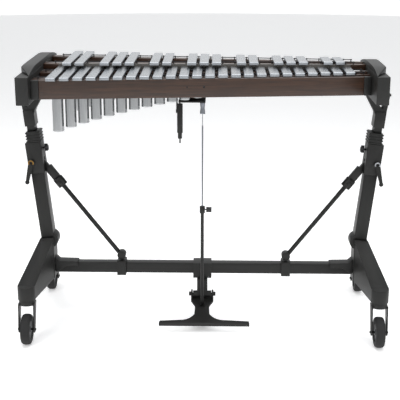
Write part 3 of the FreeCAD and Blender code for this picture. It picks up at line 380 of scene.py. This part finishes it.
# Charcoal powder coat: near-black with a touch of warmth, fine orange peel and a satin sheen.
charcoal_finish = material("charcoal powder coat on steel", "#161614", 0.0, 0.42, Specular_IOR_Level=0.4)
textured(charcoal_finish, 1.6, (1, 1, 1), "#121211", "#1a1a18", 0.38, 0.5, bump=0.12)
# Black powder coat: a step darker than the charcoal, with the same fine, even satin sheen.
black_finish = material("black powder coat on steel", "#0f0f0e", 0.0, 0.42, Specular_IOR_Level=0.35)
textured(black_finish, 1.4, (1, 1, 1), "#0b0b0a", "#151513", 0.36, 0.5, bump=0.12)
cad_piece("front_rail_board", "front_board", 2.5 * MM, wood_finish, "keyboard", 3)

# The board slants back towards the high end.
BOARD_SLOPE = 114 / 1150
SCREW_DROP = 32 * MM
SCREW_SUNK = 4 * MM
# Screw head, then plug: share of the board's length, radius and how proud it stands, in mm.
SCREWS = ((0.502, 4.5, 1.2), (0.45, 2.8, 0.6))
board_low, board_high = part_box("front_board")
bm = bmesh.new()
for share, radius, proud in SCREWS:
    x = board_low.x + share * (board_high.x - board_low.x)
    face = board_low.y + (x - board_low.x) * BOARD_SLOPE
    z = board_high.z - SCREW_DROP
    rod(bm, (x, face + SCREW_SUNK, z), (x, face - proud * MM, z), radius * MM)
piece("board_screws", bm, black_finish, "keyboard")
cad_piece("board_end_pieces", "board_end_caps", 2 * MM, charcoal_finish, "keyboard", 3)

# ------------------------------------------------------------------ end frames and hoods
# Folded steel end frames, powder coated charcoal, carry the rails and the board. An arched
# cover of the same finish stands on each.

for side in ("left", "right"):
    cad_piece(f"end_frame_shell_{side}", f"end_frame_{side}", 3.5 * MM, charcoal_finish,
              "keyboard", 3)
    cad_piece(f"end_hood_cover_{side}", f"end_hood_{side}", 2 * MM, charcoal_finish,
              "keyboard", 3)

# ------------------------------------------------------------------ resonators
# Drawn aluminium tubes, polished, with a rolled mouth and a pressed bottom cap. Two zinc
# plated steel straps hold each row together.

# Polished aluminium: a near mirror with faint draw marks along the tube.
tube_finish = material("polished drawn aluminium, tubes", "#a3a4a5", 1.0, 0.12)
textured(tube_finish, 2.0, (1, 1, 40), "#989a9b", "#adaeaf", 0.1, 0.17, bump=0.02)
# Zinc plate on steel: cool mid grey with soft, cloudy highlights.
steel_finish = material("zinc plated steel", "#9a9ca0", 1.0, 0.32)
textured(steel_finish, 3.0, (1, 1, 1), "#8d8f94", "#a8aaad", 0.26, 0.4, bump=0.05)


def turned(bm, profile, place=(0, 0, 0), axis=(0, 0, 1), segments=32):
    """Spin a list of (radius, height) points about an axis through a place."""
    turn = Vector(axis).to_track_quat("Z", "Y").to_matrix().to_4x4()
    verts = [bm.verts.new((radius, 0, height)) for radius, height in profile]
    edges = [bm.edges.new(pair) for pair in zip(verts, verts[1:])]
    bmesh.ops.spin(bm, geom=verts + edges, cent=(0, 0, 0), axis=(0, 0, 1), dvec=(0, 0, 0),
                   angle=2 * math.pi, steps=segments, use_merge=True, use_duplicate=False)
    fresh = [v for v in bm.verts if not v.tag]
    bmesh.ops.remove_doubles(bm, verts=fresh, dist=TOUCH)
    fresh = [v for v in fresh if v.is_valid]
    bmesh.ops.transform(bm, matrix=Matrix.Translation(Vector(place)) @ turn, verts=fresh)
    bmesh.ops.recalc_face_normals(bm, faces=list({f for v in fresh for f in v.link_faces}))
    for vert in fresh:
        vert.tag = True


TUBE_WALL = 1.5 * MM
BOTTOM_THICK = 3 * MM
BOTTOM_DISH = 1 * MM
MOUTH_LIP = 0.6 * MM
# Outer outline: inset from the tube's radius, then height from its lower end or its mouth.
CAP_PROFILE_MM = [(-6, 1), (-4, 0), (-1.2, 0), (-0.3, 0.6), (0, 1.6), (0, 6), (-0.5, 6.4)]
MOUTH_PROFILE_MM = [(-0.5, -2.2), (0, -1.6), (0, -0.5), (-0.8, 0)]
for node, name in (("natural_resonators", "natural_tube_row"),
                   ("accidental_resonators", "accidental_tube_row")):
    bm = bmesh.new()
    for low, high in solids(node):
        x, y = (low.x + high.x) / 2, (low.y + high.y) / 2
        radius, long = (high.x - low.x) / 2, high.z - low.z
        bore = radius - TUBE_WALL
        cap = [(radius + inset * MM, height * MM) for inset, height in CAP_PROFILE_MM]
        mouth = [(radius + inset * MM, long + height * MM) for inset, height in MOUTH_PROFILE_MM]
        inside = [(bore, long - MOUTH_LIP), (bore, BOTTOM_THICK), (0, BOTTOM_THICK)]
        turned(bm, [(0, BOTTOM_DISH)] + cap + mouth + inside, (x, y, low.z), segments=40)
    piece(name, bm, tube_finish, "keyboard", [node])
cad_piece("strap_set", "resonator_straps", 0.6 * MM, steel_finish, "keyboard", 1)

# ------------------------------------------------------------------ fans and their drive
# In each row a steel shaft turns a thin vane in every mouth. A small motor at the high end
# drives both shafts by rubber belts.

# Moulded nylon: plain black with a fine, dull grain.
plastic_finish = material("moulded black nylon", "#161618", 0.0, 0.5)
textured(plastic_finish, 0.9, (1, 1, 1), "#121214", "#1e1e21", 0.42, 0.58, bump=0.12)
# Rubber: matt black, a little patchy.
rubber_finish = material("black rubber", "#151515", 0.0, 0.8)
textured(rubber_finish, 1.5, (1, 1, 1), "#101010", "#1e1e1e", 0.7, 0.9, bump=0.2)
for node in ("fan_shaft_naturals", "fan_shaft_accidentals"):
    dress(node, steel_finish)
cad_piece("fan_motor_case", "fan_motor", 1.5 * MM, plastic_finish, "keyboard")
cad_piece("drive_pulley_pair", "drive_pulley", 0.5 * MM, steel_finish, "drive", 1)
dress("drive_belts", rubber_finish)

# ------------------------------------------------------------------ damper
# An aluminium damper bar with a stepped wool felt lies under the meeting ends of both rows. A
# black yoke ties it to the pull rod and to the plunger of the spring housing.

# Wool felt: soft mid grey, fully matt, with a fuzzy edge to the light.
felt_finish = material("grey wool felt", "#4a4744", 0.0, 0.95, Sheen_Weight=0.4)
textured(felt_finish, 0.9, (1, 1, 1), "#3a3835", "#5c5955", 0.9, 1.0, bump=0.6, depth_mm=0.6)
cad_piece("damper_rail", "damper_bar", 1 * MM, bar_finish, "damper")
cad_piece("damper_felt_strip", "damper_felt", 1.2 * MM, felt_finish, "damper")
cad_piece("damper_yoke_plate", "damper_yoke", 0.8 * MM, black_finish, "damper")

# ------------------------------------------------------------------ damper spring
# A steel coil spring in a black coated tube, which hangs from the keyboard, presses the
# damper back up against the bars by the plunger of the yoke.

cad_piece("spring_tube", "spring_housing", 0.8 * MM, black_finish, "keyboard")
dress("damper_spring", steel_finish)

# ------------------------------------------------------------------ pull rod and tube
# A turned steel rod runs from the damper's yoke down into a black coated steel tube, where a
# moulded knob locks it in a clamp sleeve.

# Turned steel: satin mid grey with faint marks along the rod.
grey_rod = material("satin grey steel rod", "#7d8086", 1.0, 0.35)
textured(grey_rod, 2.0, (1, 1, 20), "#73767c", "#878a90", 0.3, 0.42, bump=0.04)
cad_piece("pull_rod_turned", "pull_rod", 0.4 * MM, grey_rod, "damper", 1)
cad_piece("pull_tube_black", "pull_tube", 0.8 * MM, black_finish, "pull_tube")
cad_piece("rod_knob_grip", "rod_clamp_knob", 1.2 * MM, plastic_finish, "rod_knob")

# ------------------------------------------------------------------ pedal and bracket
# The tube ends at a cast pedal, painted black, which hinges in a cast bracket on the cross
# beam.

# Painted casting: warm near-black, rougher and duller than the powder coat.
cast_finish = material("black painted casting", "#10100f", 0.0, 0.45, Specular_IOR_Level=0.35)
textured(cast_finish, 2.2, (1, 1, 1), "#0c0c0b", "#181816", 0.4, 0.56, bump=0.22, depth_mm=0.4)
cad_piece("pedal_plate", "pedal", 2 * MM, cast_finish, "pedal", 3)
cad_piece("pedal_clamp", "pedal_bracket", 2 * MM, cast_finish, "stand", 3)

# ------------------------------------------------------------------ columns and clamp heads
# Square steel columns, powder coated black, lean outwards towards the top. Cast clamp heads on
# the lower ones let the upper ones, which carry the end frames, slide to the right height.

for side in ("left", "right"):
    cad_piece(f"column_{side}", f"lower_column_{side}", 3 * MM, black_finish, "stand", 3)
    cad_piece(f"head_{side}", f"clamp_head_{side}", 1.6 * MM, cast_finish, "stand")
    cad_piece(f"inner_column_{side}", f"upper_column_{side}", 2 * MM, black_finish,
              f"column_{side}")

# ------------------------------------------------------------------ height levers
# A cast lever, painted black, turns on the front of each clamp head and locks the height. It
# bears on a plated steel washer, yellow on the left and bright on the right.

# Yellow zinc plate on the left washer: dull bronze.
bronze_finish = material("yellow zinc plated steel washer", "#8a6a3c", 1.0, 0.35)
textured(bronze_finish, 2.0, (1, 1, 1), "#7c5d33", "#977747", 0.3, 0.45, bump=0.05)
WASHER_PROFILE_MM = [(7, 0), (12.5, 0), (12.5, 2), (11.5, 3), (8, 3), (7, 2), (7, 0)]
WASHER_FRONT = 9 * MM
washer_profile = [(radius * MM, height * MM) for radius, height in WASHER_PROFILE_MM]
joint_place = {joint["name"]: joint.get("pos_m") for joint in frame["record"]["behaviour"]["joints"]}
for side, washer_finish in (("left", bronze_finish), ("right", steel_finish)):
    cad_piece(f"lever_{side}_handle", f"height_lever_{side}", 0.8 * MM, cast_finish,
              f"lever_{side}")
    pivot = Vector(joint_place[f"height_lever_{side}_turn"])
    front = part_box(f"height_lever_{side}")[0][1]
    bm = bmesh.new()
    turned(bm, washer_profile, (pivot.x, front + WASHER_FRONT, pivot.z), (0, -1, 0))
    piece(f"lever_{side}_washer", bm, washer_finish, f"lever_{side}")

# ------------------------------------------------------------------ star knobs
# A moulded nylon star knob on the inner side of each clamp head turns on its own screw against
# the upper column.

for side in ("left", "right"):
    cad_piece(f"star_{side}", f"star_knob_{side}", 1.2 * MM, plastic_finish, f"knob_{side}")

# ------------------------------------------------------------------ braces
# Telescopic steel braces, powder coated black, run from the clamp heads down to cast clamps on
# the cross beam. A cast collar holds each one at its length.

for side in ("left", "right"):
    cad_piece(f"brace_low_{side}", f"brace_lower_tube_{side}", 0.6 * MM, black_finish,
              "stand")
    cad_piece(f"brace_up_{side}", f"brace_upper_tube_{side}", 1.2 * MM, black_finish,
              "stand")
    cad_piece(f"beam_grip_{side}", f"brace_clamp_{side}", 2 * MM, cast_finish, "stand")
cad_piece("collar_pair", "brace_collars", 1.2 * MM, cast_finish, "stand")

# ------------------------------------------------------------------ cross beam and sockets
# A square steel beam, powder coated black, joins both sides of the stand. Each end sits in a
# flared cast socket, painted black.

for side in ("left", "right"):
    cad_piece(f"socket_{side}", f"beam_socket_{side}", 4 * MM, cast_finish, "stand", 3)
cad_piece("beam", "cross_beam", 5 * MM, black_finish, "stand", 3)

# ------------------------------------------------------------------ feet
# Two cast feet, painted black: a block at the foot of the column with two arms that spread
# down to round pads over the castors.

for side in ("left", "right"):
    cad_piece(f"foot_casting_{side}", f"foot_{side}", 5 * MM, cast_finish, "stand", 3)

# ------------------------------------------------------------------ castors
# Swivel castors under both ends of each foot: pressed steel forks, powder coated black, whose
# axles carry rubber tyres on moulded hubs.

# Moulded grey nylon: plain mid grey with a fine, dull grain.
hub_finish = material("grey moulded nylon, wheel hubs", "#4b4c4e", 0.0, 0.5)
textured(hub_finish, 1.2, (1, 1, 1), "#434446", "#545557", 0.44, 0.56, bump=0.1)
# Half sections from one side face to the middle: radius, depth from the side face.
TYRE_SIDE_MM = [(35, 7), (38, 2.5), (50, 1), (57, 2.5), (61, 7)]
TREAD_DEPTH = 13 * MM
HUB_SIDE_MM = [(5.1, 3), (11, 3), (12, 4), (12, 8), (30, 9), (35, 6)]


def both_faces(side, half):
    """Closed wheel section from one side's (radius, depth) points and the half width."""
    near = [(radius, depth - half) for radius, depth in side]
    section = near + [(radius, -height) for radius, height in reversed(near)]
    return section + section[:1]


for corner in ("front_left", "front_right", "back_left", "back_right"):
    cad_piece(f"fork_{corner}", f"castor_fork_{corner}", 1.2 * MM, black_finish,
              f"castor_{corner}")
    low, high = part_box(f"castor_wheel_{corner}")
    middle, radius, half = (low + high) / 2, (high.z - low.z) / 2, (high.x - low.x) / 2
    tyre_side = [(r * MM, depth * MM) for r, depth in TYRE_SIDE_MM] + [(radius, TREAD_DEPTH)]
    bm = bmesh.new()
    turned(bm, both_faces(tyre_side, half), middle, (1, 0, 0), 56)
    piece(f"wheel_{corner}_tyre", bm, rubber_finish, f"wheel_{corner}",
          [f"castor_wheel_{corner}"])
    hub_side = [(r * MM, depth * MM) for r, depth in HUB_SIDE_MM]
    bm = bmesh.new()
    turned(bm, both_faces(hub_side, half), middle, (1, 0, 0), 40)
    piece(f"wheel_{corner}_hub", bm, hub_finish, f"wheel_{corner}")
